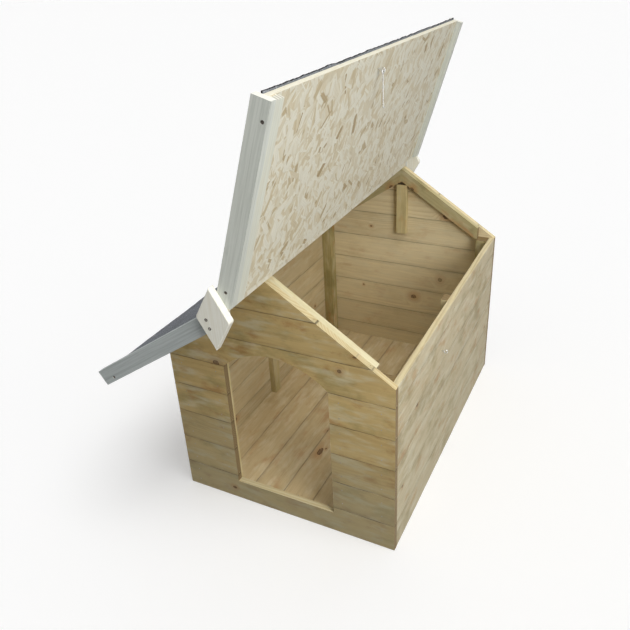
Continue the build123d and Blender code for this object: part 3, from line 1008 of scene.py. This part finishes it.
def pick_faces(piece: bpy.types.Object, wanted: Callable[[Vector, Vector], bool]) -> None:
    """Go into edit mode with only the wanted faces selected.

    Args:
        piece: The active object.
        wanted: Says from a face's middle and normal whether it is selected.
    """
    bpy.ops.object.mode_set(mode="EDIT")
    bpy.ops.mesh.select_mode(type="FACE")
    bpy.ops.mesh.select_all(action="DESELECT")
    bpy.ops.object.mode_set(mode="OBJECT")
    for face in piece.data.polygons:
        face.select = wanted(face.center, face.normal)
    bpy.ops.object.mode_set(mode="EDIT")


def apply_modifier(piece: bpy.types.Object, kind: str, **settings: object) -> None:
    """Add a modifier to the active object and apply it at once.

    Args:
        piece: The active object.
        kind: The modifier's type name.
        settings: Properties to set on it.
    """
    bpy.ops.object.modifier_add(type=kind)
    modifier = piece.modifiers[-1]
    for key, value in settings.items():
        setattr(modifier, key, value)
    bpy.ops.object.modifier_apply(modifier=modifier.name)


@dataclass
class FeltSheet:
    """A felt sheet over one roof half, flat but for its unevenly cut eave edge."""

    half: Half
    finish: MineralFelt
    band: float = 0.0125
    rows: int = 3
    first_cuts: int = 20
    second_cuts: int = 15
    wander: float = 0.0042
    lift: float = 0.0045
    ridge_gap: float = 0.0006
    hair: float = 1e-5

    def build(self, frame: dict, layout: Layout) -> bpy.types.Object:
        """Model the sheet where the frame's felt lies, and let it stand for that node.

        Args:
            layout: The house's layout.

        Returns:
            The sheet.
        """
        prefix = self.half.value
        place = layout.roof_place(self.half)
        inward = place.inverted()
        corners = [inward @ vertex.co for vertex in frame["nodes"][prefix + "_felt"].data.vertices]
        low = Vector([min(corner[axis] for corner in corners) for axis in range(3)])
        high = Vector([max(corner[axis] for corner in corners) for axis in range(3)])
        flat = high.x - self.band
        middle = ((low.x + flat) / 2, (low.y + high.y) / 2, high.z)
        sheet = start_piece(
            bpy.ops.mesh.primitive_plane_add, prefix + "_felt_sheet", size=1.0, location=middle
        )
        bpy.ops.object.mode_set(mode="EDIT")
        bpy.ops.mesh.select_all(action="SELECT")
        bpy.ops.transform.resize(value=(flat - low.x, high.y - low.y, 1.0), center_override=middle)
        self._cut_band(sheet, flat)
        self._unsettle(sheet, flat)
        apply_modifier(sheet, "SOLIDIFY", thickness=high.z - low.z, offset=-1.0)
        self._mitre(layout.pitch)
        bpy.ops.object.shade_smooth_by_angle(angle=math.radians(35.0))
        sheet.matrix_world = place
        bpy.ops.object.transform_apply(location=True, rotation=True, scale=True)
        down, out = layout.roof_down(self.half), layout.roof_out(self.half)
        sheet.data.materials.append(self.finish.material(Lay(tuple(down), BACKWARD, tuple(out))))
        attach(sheet, self.half.body)
        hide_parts(prefix + "_felt")
        LOG.info("built %s", sheet.name)
        return sheet

    def _cut_band(self, sheet: bpy.types.Object, flat: float) -> None:
        """Draw the eave edge out in rows and divide them finely.

        Args:
            sheet: The sheet, still flat.
            flat: Where the flat part ends.
        """

        def past_flat(start: Vector, end: Vector) -> bool:
            """Whether an edge lies where the flat part ends, or further out."""
            return min(start.x, end.x) > flat - self.hair

        step = (self.band / self.rows, 0.0, 0.0)
        pick_edges(sheet, past_flat)
        for _ in range(self.rows):
            bpy.ops.mesh.extrude_region_move(TRANSFORM_OT_translate={"value": step})
        for cuts in (self.first_cuts, self.second_cuts):
            pick_edges(
                sheet, lambda start, end: past_flat(start, end) and abs(start.x - end.x) < self.hair
            )
            bpy.ops.mesh.subdivide(number_cuts=cuts)
        bpy.ops.object.mode_set(mode="OBJECT")

    def _mitre(self, pitch: float) -> None:
        """Cut the active sheet's ridge edge so that it stands upright when the roof is shut.

        Args:
            pitch: Slope of the shut roof.
        """
        bpy.ops.object.mode_set(mode="EDIT")
        bpy.ops.mesh.select_all(action="SELECT")
        level, rise = math.cos(pitch), math.sin(pitch)
        bpy.ops.mesh.bisect(
            plane_co=(self.ridge_gap / level, 0.0, 0.0), plane_no=(level, 0.0, rise),
            use_fill=True, clear_inner=True,
        )
        bpy.ops.object.mode_set(mode="OBJECT")

    def _unsettle(self, sheet: bpy.types.Object, flat: float) -> None:
        """Let the band's outer rows wander along the slope and lift off it.

        Args:
            sheet: The sheet with its band.
            flat: Where the flat part ends.
        """
        loose = sheet.vertex_groups.new(name="loose")
        for vertex in sheet.data.vertices:
            share = (vertex.co.x - flat) / self.band
            if share > 0.01:
                loose.add([vertex.index], min(1.0, share ** 1.3), "REPLACE")
        for name, scale, axis, strength, rest in (
            ("felt_tear", 0.016, "X", self.wander, 0.5),
            ("felt_curl", 0.07, "Z", self.lift, 0.40),
        ):
            unevenness = bpy.data.textures.new(name, "CLOUDS")
            unevenness.noise_scale = scale
            unevenness.noise_depth = 2
            apply_modifier(
                sheet, "DISPLACE", texture=unevenness, texture_coords="LOCAL", direction=axis,
                strength=strength, mid_level=rest, vertex_group="loose",
            )
        sheet.vertex_groups.clear()


@dataclass
class CrossScrews:
    """Countersunk wood screws with a cross recess, one per screw of a CAD node."""

    node: str
    body: str
    finish: Plated
    head: float = 0.0035
    head_rim: float = 0.0008
    head_depth: float = 0.0024
    tip: float = 0.003
    tip_share: float = 0.12
    apart: float = 0.009
    neck: float = 0.0016
    recess: float = 0.0011
    slot: float = 0.0010
    reach: float = 0.0046
    seed: int = 11

    def build(self, frame: dict) -> bpy.types.Object:
        """Model one screw for each length and copy it to every place.


        Returns:
            The joined screws.
        """
        rng = random.Random(self.seed)
        masters: dict[float, bpy.types.Object] = {}
        screws = []
        for spot, low, high in self._places(frame["nodes"][self.node]):
            length = round(high - low, 4)
            if length not in masters:
                masters[length] = self._model(length)
                masters[length].data.materials.append(self.finish.material(Lay(UPRIGHT, ACROSS, BACKWARD)))
            screw = masters[length].copy()
            screw.data = masters[length].data.copy()
            bpy.context.scene.collection.objects.link(screw)
            outward = 1.0 if low + high > 0 else -1.0
            face = high if outward > 0 else low
            roll = Matrix.Rotation(rng.uniform(0.0, math.pi), 4, "Z")
            turn = Matrix.Rotation(-outward * math.pi / 2, 4, "X") @ roll
            screw.matrix_world = Matrix.Translation((spot[0], face, spot[1])) @ turn
            screws.append(screw)
        for master in masters.values():
            bpy.data.objects.remove(master)
        bpy.ops.object.select_all(action="DESELECT")
        for screw in screws:
            screw.select_set(True)
        bpy.context.view_layer.objects.active = screws[0]
        bpy.ops.object.transform_apply(location=True, rotation=True, scale=True)
        bpy.ops.object.join()
        whole = bpy.context.active_object
        whole.name = self.node + "_crossed"
        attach(whole, self.body)
        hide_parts(self.node)
        LOG.info("built %s with %d screws", whole.name, len(screws))
        return whole

    def _places(self, node: bpy.types.Object) -> list[tuple[tuple[float, float], float, float]]:
        """Find each screw of the node.

        Args:
            node: The CAD node, whose screws all lie along Y.

        Returns:
            Each screw's X and Z, and its lowest and highest Y.
        """
        groups: list[list[Vector]] = []
        for vertex in node.data.vertices:
            point = vertex.co
            for group in groups:
                first = group[0]
                near = math.hypot(point.x - first.x, point.z - first.z) < self.apart
                if near and point.y * first.y > 0:
                    group.append(point)
                    break
            else:
                groups.append([point])
        places = []
        for group in groups:
            spans = [(min(p[axis] for p in group), max(p[axis] for p in group)) for axis in range(3)]
            places.append(((sum(spans[0]) / 2, sum(spans[2]) / 2), *spans[1]))
        return sorted(places)

    def _model(self, length: float) -> bpy.types.Object:
        """Model one screw, its head's face at the origin and its shank downward.

        Args:
            length: Its whole length.

        Returns:
            The screw.
        """
        cutter = start_piece(
            bpy.ops.mesh.primitive_cube_add, "cross_cutter", size=1.0,
            scale=(self.reach, self.slot, 2 * self.recess),
        )
        bpy.ops.object.mode_set(mode="EDIT")
        bpy.ops.mesh.primitive_cube_add(size=1.0, scale=(self.slot, self.reach, 2 * self.recess))
        bpy.ops.object.mode_set(mode="OBJECT")
        screw = start_piece(
            bpy.ops.mesh.primitive_cylinder_add, "cross_screw", vertices=40, radius=self.head,
            depth=self.head_rim, location=(0.0, 0.0, -self.head_rim / 2),
        )
        pick_faces(screw, lambda middle, normal: normal.z < -0.9)
        self._draw_down(self.head_depth - self.head_rim)
        narrow = self.neck / self.head
        bpy.ops.transform.resize(value=(narrow, narrow, 1.0), center_override=(0.0, 0.0, -self.head_depth))
        self._draw_down(length - self.head_depth - self.tip)
        self._draw_down(self.tip)
        bpy.ops.transform.resize(
            value=(self.tip_share, self.tip_share, 1.0), center_override=(0.0, 0.0, -length)
        )
        bpy.ops.object.mode_set(mode="OBJECT")
        apply_modifier(screw, "BEVEL", width=0.00018, segments=2, angle_limit=math.radians(50.0))
        apply_modifier(
            screw, "BOOLEAN", object=cutter, operation="DIFFERENCE", solver="EXACT", use_self=True
        )
        bpy.data.objects.remove(cutter)
        bpy.ops.object.shade_smooth_by_angle(angle=math.radians(30.0))
        return screw

    def _draw_down(self, distance: float) -> None:
        """Extrude the selected face downward."""
        bpy.ops.mesh.extrude_region_move(TRANSFORM_OT_translate={"value": (0.0, 0.0, -distance)})


# --------------------------------------------------------------- assemblies


@dataclass
class Walls:
    """The boarded walls, and the finishes of their four sides."""

    front: Pine = Pine(
        "front_pine", pale=warm(196, 170, 115), ring=warm(160, 130, 76), stain=warm(134, 124, 76),
        stained=0.55, rust=warm(150, 102, 50), chalk=warm(204, 196, 164), chalked=0.62,
        sawn_edge_and_highlight=warm(196, 186, 150), low_grey_share=0.5, joint=0.36, knots=0.32, seed=1.0,
    )
    back: Pine = Pine(
        "back_pine", pale=warm(222, 206, 166), ring=warm(186, 162, 118), stain=warm(180, 160, 114),
        stained=0.24, seed=2.0,
    )
    left: Pine = Pine(
        "left_pine", pale=warm(202, 184, 144), ring=warm(172, 146, 100), stain=warm(166, 142, 96),
        stained=0.26, seed=3.0,
    )
    right: Pine = Pine(
        "right_pine", pale=warm(190, 178, 148), ring=warm(158, 138, 102), stain=warm(138, 124, 86),
        stained=0.62,
        rust=warm(164, 122, 76), chalk=warm(206, 200, 176), chalked=0.6,
        low_grey_share=0.2, joint=0.74, knots=0.16, seed=4.0
    )

    def dress(self, frame: dict) -> None:
        """Give each wall its own finish, its fibres along its boards.
        """
        sides = {"front": self.front, "back": self.back, "left": self.left, "right": self.right}
        endings = ("board", "boards", "boards_left", "boards_right")
        for side, finish in sides.items():
            own = [name for name in frame["nodes"] if name.startswith(side + "_")]
            names = [name for name in own if name.endswith(endings)]
            low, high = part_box(names[0])
            if side in ("front", "back"):
                lay = Lay(ACROSS, UPRIGHT, BACKWARD, (low.y + high.y) / 2, FIRST_COVER, BOARD_COVER)
            else:
                lay = Lay(BACKWARD, UPRIGHT, ACROSS, (low.x + high.x) / 2, FIRST_COVER, BOARD_COVER)
            dress(frame, finish.material(lay), *sorted(names))


@dataclass
class Framing:
    """Floor, posts, battens and rafters inside the walls."""

    floor: Pine = Pine(
        "floor_pine", pale=warm(190, 170, 130), ring=warm(162, 134, 90), stain=warm(152, 126, 82),
        rust=warm(166, 108, 56),
        sawn_edge_and_highlight_share=0.3, seed=5.0
    )
    posts: Pine = Pine(
        "post_pine", pale=warm(164, 150, 100), ring=warm(128, 112, 66), stain=warm(108, 102, 56),
        stained=0.6, sawn_edge_and_highlight_share=0.0,
        knots=0.2, seed=6.0,
    )
    battens: Pine = Pine(
        "batten_pine", pale=warm(196, 180, 132), ring=warm(164, 144, 94), stain=warm(146, 132, 84),
        sawn_edge_and_highlight_share=0.0,
        knots=0.2, seed=9.0,
    )
    front_rails: Pine = Pine(
        "front_rafter_pine", pale=warm(202, 194, 160), ring=warm(176, 162, 120),
        stain=warm(170, 156, 106), sawn_edge_and_highlight_share=0.0,
        knots=0.25, seed=7.0,
    )
    back_rails: Pine = Pine(
        "back_rafter_pine", pale=warm(178, 166, 122), ring=warm(148, 132, 86),
        stain=warm(122, 112, 68), stained=0.6,
        sawn_edge_and_highlight_share=0.0, knots=0.25, seed=10.0,
    )

    def dress(self, frame: dict, layout: Layout) -> None:
        """Give the floor and each way of lying its own finish.

        Args:
            layout: The house's layout.
        """
        low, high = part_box("floor_boards")
        first = low.x + FIRST_FLOOR_COVER
        boards = Lay(BACKWARD, ACROSS, UPRIGHT, (low.z + high.z) / 2, first, BOARD_COVER)
        dress(frame, self.floor.material(boards), "floor_boards")
        bearers = self.floor.material(Lay(ACROSS, BACKWARD, UPRIGHT))
        dress(frame, bearers, "floor_bearer_front", "floor_bearer_middle", "floor_bearer_back")
        battens = ("side_batten", "jamb_batten", "gable_batten")
        for finish, kinds in ((self.posts, ("corner_post",)), (self.battens, battens)):
            uprights = [name for name in frame["nodes"] if name.startswith(kinds)]
            dress(frame, finish.material(Lay(UPRIGHT, ACROSS, BACKWARD)), *sorted(uprights))
        for side, lean in (("left", -1.0), ("right", 1.0)):
            down = (lean * math.cos(layout.pitch), 0.0, -math.sin(layout.pitch))
            out = (lean * math.sin(layout.pitch), 0.0, math.cos(layout.pitch))
            dress(frame, self.front_rails.material(Lay(down, out, BACKWARD)), "rafter_front_" + side)
            dress(frame, self.back_rails.material(Lay(down, out, BACKWARD)), "rafter_back_" + side)


@dataclass
class RoofHalf:
    """One half of the roof: panel, felt, batten and barges."""

    half: Half
    paint: ThinPaint
    board: StrandBoard = StrandBoard()
    felt: MineralFelt = MineralFelt()
    batten: Pine = Pine(
        "roof_batten_pine", pale=warm(212, 214, 200), ring=warm(196, 196, 178), stain=warm(200, 198, 182),
        sawn_edge_and_highlight=warm(224, 224, 212),
        rust=warm(204, 192, 160), end=warm(222, 220, 206), sawn_edge_and_highlight_share=0.3, knots=0.1, seed=8.0,
    )

    def dress(self, frame: dict, layout: Layout) -> None:
        """Give each piece of this half its finish.

        Args:
            layout: The house's layout.
        """
        name = self.half.value
        down = tuple(layout.roof_down(self.half))
        out = tuple(layout.roof_out(self.half))
        dress(frame, self.board.material(Lay(down, BACKWARD, out)), name + "_panel")
        FeltSheet(self.half, self.felt).build(frame, layout)
        dress(frame, self.batten.material(Lay(down, out, BACKWARD)), name + "_batten")
        barges = self.paint.material(Lay(down, out, BACKWARD))
        dress(frame, barges, name + "_barge_front", name + "_barge_back")


@dataclass
class Trim:
    """Finials, hinges, hook, eyes, screws and nails."""

    finial: ThinPaint = ThinPaint(
        "finial_paint", coat=warm(240, 239, 228), shadow=warm(222, 216, 194), wood=warm(240, 232, 208),
        streaks=0.5, seed=4.0,
    )
    zinc: Plated = Plated("zinc_wire", (0.78, 0.78, 0.76), (0.55, 0.55, 0.53), 0.18, 0.35)
    hinge: Plated = Plated("zinc_hinge", (0.66, 0.66, 0.64), (0.42, 0.42, 0.40), 0.3, 0.55)
    screw: Plated = Plated("dark_screw", (0.16, 0.14, 0.12), (0.08, 0.07, 0.06), 0.35, 0.6)
    nail: Plated = Plated("galvanised_nail", (0.50, 0.48, 0.44), (0.30, 0.28, 0.25), 0.4, 0.7)

    def dress(self, frame: dict) -> None:
        """Give the small pieces their finishes.
        """
        plain = Lay(UPRIGHT, ACROSS, BACKWARD)
        dress(frame, self.finial.material(plain), "finial_front", "finial_back")
        dress(frame, self.zinc.material(plain), "hook", "lid_screw_eye", "wall_screw_eye")
        hinge = [name for name in frame["nodes"] if name.startswith("hinge_")]
        dress(frame, self.hinge.material(plain), *sorted(hinge))
        CrossScrews("roof_trim_screws", "house", self.screw).build(frame)
        CrossScrews("lid_barge_screws", "lid", self.screw, seed=12).build(frame)
        nails = [name for name in frame["nodes"] if name.endswith("_nails")]
        dress(frame, self.nail.material(plain), *sorted(nails))


# -------------------------------------------------------------------- studio


@dataclass
class Studio:
    """Pale floor, soft lights and the camera."""

    eye: tuple[float, float, float] = (0.7099, -1.5522, 1.3283)
    right: tuple[float, float, float] = (0.893068, 0.447203, -0.04939)
    forward: tuple[float, float, float] = (-0.416511, 0.780239, -0.466632)
    lens: float = 38.12
    shift: tuple[float, float] = (0.0005, -0.0254)
    floor_tone: Colour = (0.80, 0.80, 0.80)
    floor_glow: float = 0.25
    sky: float = 0.42
    ground: float = 0.10
    key_place: Direction = (2.1, -1.4, 1.6)
    key_size: float = 1.2
    key_power: float = 42.0
    sun_from: Direction = (0.40, -0.16, 0.9)
    sun_power: float = 1.7
    sun_spread: float = 38.0
    aim: Direction = (0.0, 0.0, 0.6)
    floor_size: float = 60.0
    backdrop_radius: float = 28.0
    backdrop_glow: float = 0.97
    horizon: tuple[float, float] = (-0.25, 0.15)

    def build(self) -> None:
        """Make the floor, the lights, the surroundings and the camera."""
        scene = bpy.context.scene
        scene.view_settings.view_transform = "Standard"
        floor = start_piece(bpy.ops.mesh.primitive_plane_add, "studio_floor", size=self.floor_size)
        w = Wiring("studio_floor")
        w.shader.inputs["Base Color"].default_value = (*self.floor_tone, 1.0)
        w.shader.inputs["Roughness"].default_value = 0.9
        w.shader.inputs["Specular IOR Level"].default_value = 0.1
        w.shader.inputs["Emission Color"].default_value = (1.0, 1.0, 1.0, 1.0)
        w.shader.inputs["Emission Strength"].default_value = self.floor_glow
        floor.data.materials.append(w.material)
        floor.visible_diffuse = False
        self._backdrop()
        key = bpy.data.lights.new("key", "AREA")
        key.size = self.key_size
        key.energy = self.key_power
        holder = self._hang(scene, key, Vector(self.key_place), Vector(self.aim))
        unlit = bpy.data.collections.new("key_receivers")
        unlit.objects.link(floor)
        unlit.collection_objects[0].light_linking.link_state = "EXCLUDE"
        holder.light_linking.receiver_collection = unlit
        sun = bpy.data.lights.new("sun", "SUN")
        sun.angle = math.radians(self.sun_spread)
        sun.energy = self.sun_power
        self._hang(scene, sun, Vector(self.sun_from) * 4.0, Vector((0.0, 0.0, 0.0)))
        scene.world = self._surroundings()
        self._camera(scene)

    def _backdrop(self) -> None:
        """Make a plain pale backdrop that neither lights nor shades the object."""
        dome = start_piece(
            bpy.ops.mesh.primitive_uv_sphere_add, "studio_backdrop", radius=self.backdrop_radius,
            segments=48, ring_count=24,
        )
        w = Wiring("studio_backdrop")
        w.shader.inputs["Base Color"].default_value = (0.0, 0.0, 0.0, 1.0)
        w.shader.inputs["Emission Color"].default_value = (1.0, 1.0, 1.0, 1.0)
        w.shader.inputs["Emission Strength"].default_value = self.backdrop_glow
        w.shader.inputs["Specular IOR Level"].default_value = 0.0
        dome.data.materials.append(w.material)
        dome.visible_diffuse = False
        dome.visible_glossy = False
        dome.visible_shadow = False

    def _hang(
        self, scene: bpy.types.Scene, lamp: bpy.types.Light, place: Vector, aim: Vector
    ) -> bpy.types.Object:
        """Put a lamp in the scene.

        Args:
            scene: The scene it lights.
            lamp: The lamp.
            place: Where it hangs.
            aim: What it points at.

        Returns:
            The lamp's object.
        """
        holder = bpy.data.objects.new(lamp.name, lamp)
        holder.location = place
        holder.rotation_euler = (aim - place).to_track_quat("-Z", "Y").to_euler()
        scene.collection.objects.link(holder)
        return holder

    def _surroundings(self) -> bpy.types.World:
        """Make the air around the object, pale above and darker below.

        Returns:
            The world.
        """
        world = bpy.data.worlds.new("studio_air")
        world.use_nodes = True
        tree = world.node_tree
        places = tree.nodes.new("ShaderNodeTexCoord")
        split = tree.nodes.new("ShaderNodeSeparateXYZ")
        blend = tree.nodes.new("ShaderNodeMapRange")
        blend.interpolation_type = "SMOOTHSTEP"
        for socket, number in zip(blend.inputs[1:5], (*self.horizon, self.ground, self.sky)):
            socket.default_value = number
        tree.links.new(places.outputs["Generated"], split.inputs[0])
        tree.links.new(split.outputs["Z"], blend.inputs[0])
        air = tree.nodes["Background"]
        air.inputs["Color"].default_value = (1.0, 1.0, 1.0, 1.0)
        tree.links.new(blend.outputs[0], air.inputs["Strength"])
        return world

    def _camera(self, scene: bpy.types.Scene) -> None:
        """Make the camera.

        Args:
            scene: The scene it looks at.
        """
        camera = bpy.data.cameras.new("camera")
        camera.lens = self.lens
        camera.sensor_width = 36.0
        camera.shift_x, camera.shift_y = self.shift
        camera.clip_end = 200.0
        right = Vector(self.right).normalized()
        back = -Vector(self.forward).normalized()
        up = back.cross(right)
        turn = Matrix((right, up, back)).transposed()
        holder = bpy.data.objects.new("camera", camera)
        holder.matrix_world = Matrix.Translation(self.eye) @ turn.to_4x4()
        scene.collection.objects.link(holder)
        scene.camera = holder


# One barge paint in two copies, as painted light and shade: a darker, shaded copy for the fixed half and a
# lighter, lit copy for the lid.
SHADED_BARGE_PAINT = ThinPaint(
    "roof_barge_paint_shaded", coat=warm(184, 190, 188), shadow=warm(146, 152, 149), wood=warm(214, 213, 202),
    seed=2.0,
)
LIT_BARGE_PAINT = ThinPaint(
    "lid_barge_paint_lit", coat=warm(212, 215, 206), shadow=warm(178, 182, 172), wood=warm(236, 235, 224)
)


def main() -> None:
    """Load the frame, dress the house and set up the studio."""
    logging.basicConfig(level=logging.INFO, format="%(message)s")
    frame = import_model()
    layout = Layout.read(frame)
    Walls().dress(frame)
    Framing().dress(frame, layout)
    RoofHalf(Half.FIXED, SHADED_BARGE_PAINT).dress(frame, layout)
    RoofHalf(Half.LID, LIT_BARGE_PAINT).dress(frame, layout)
    Trim().dress(frame)
    Studio().build()


if __name__ == "__main__":
    main()
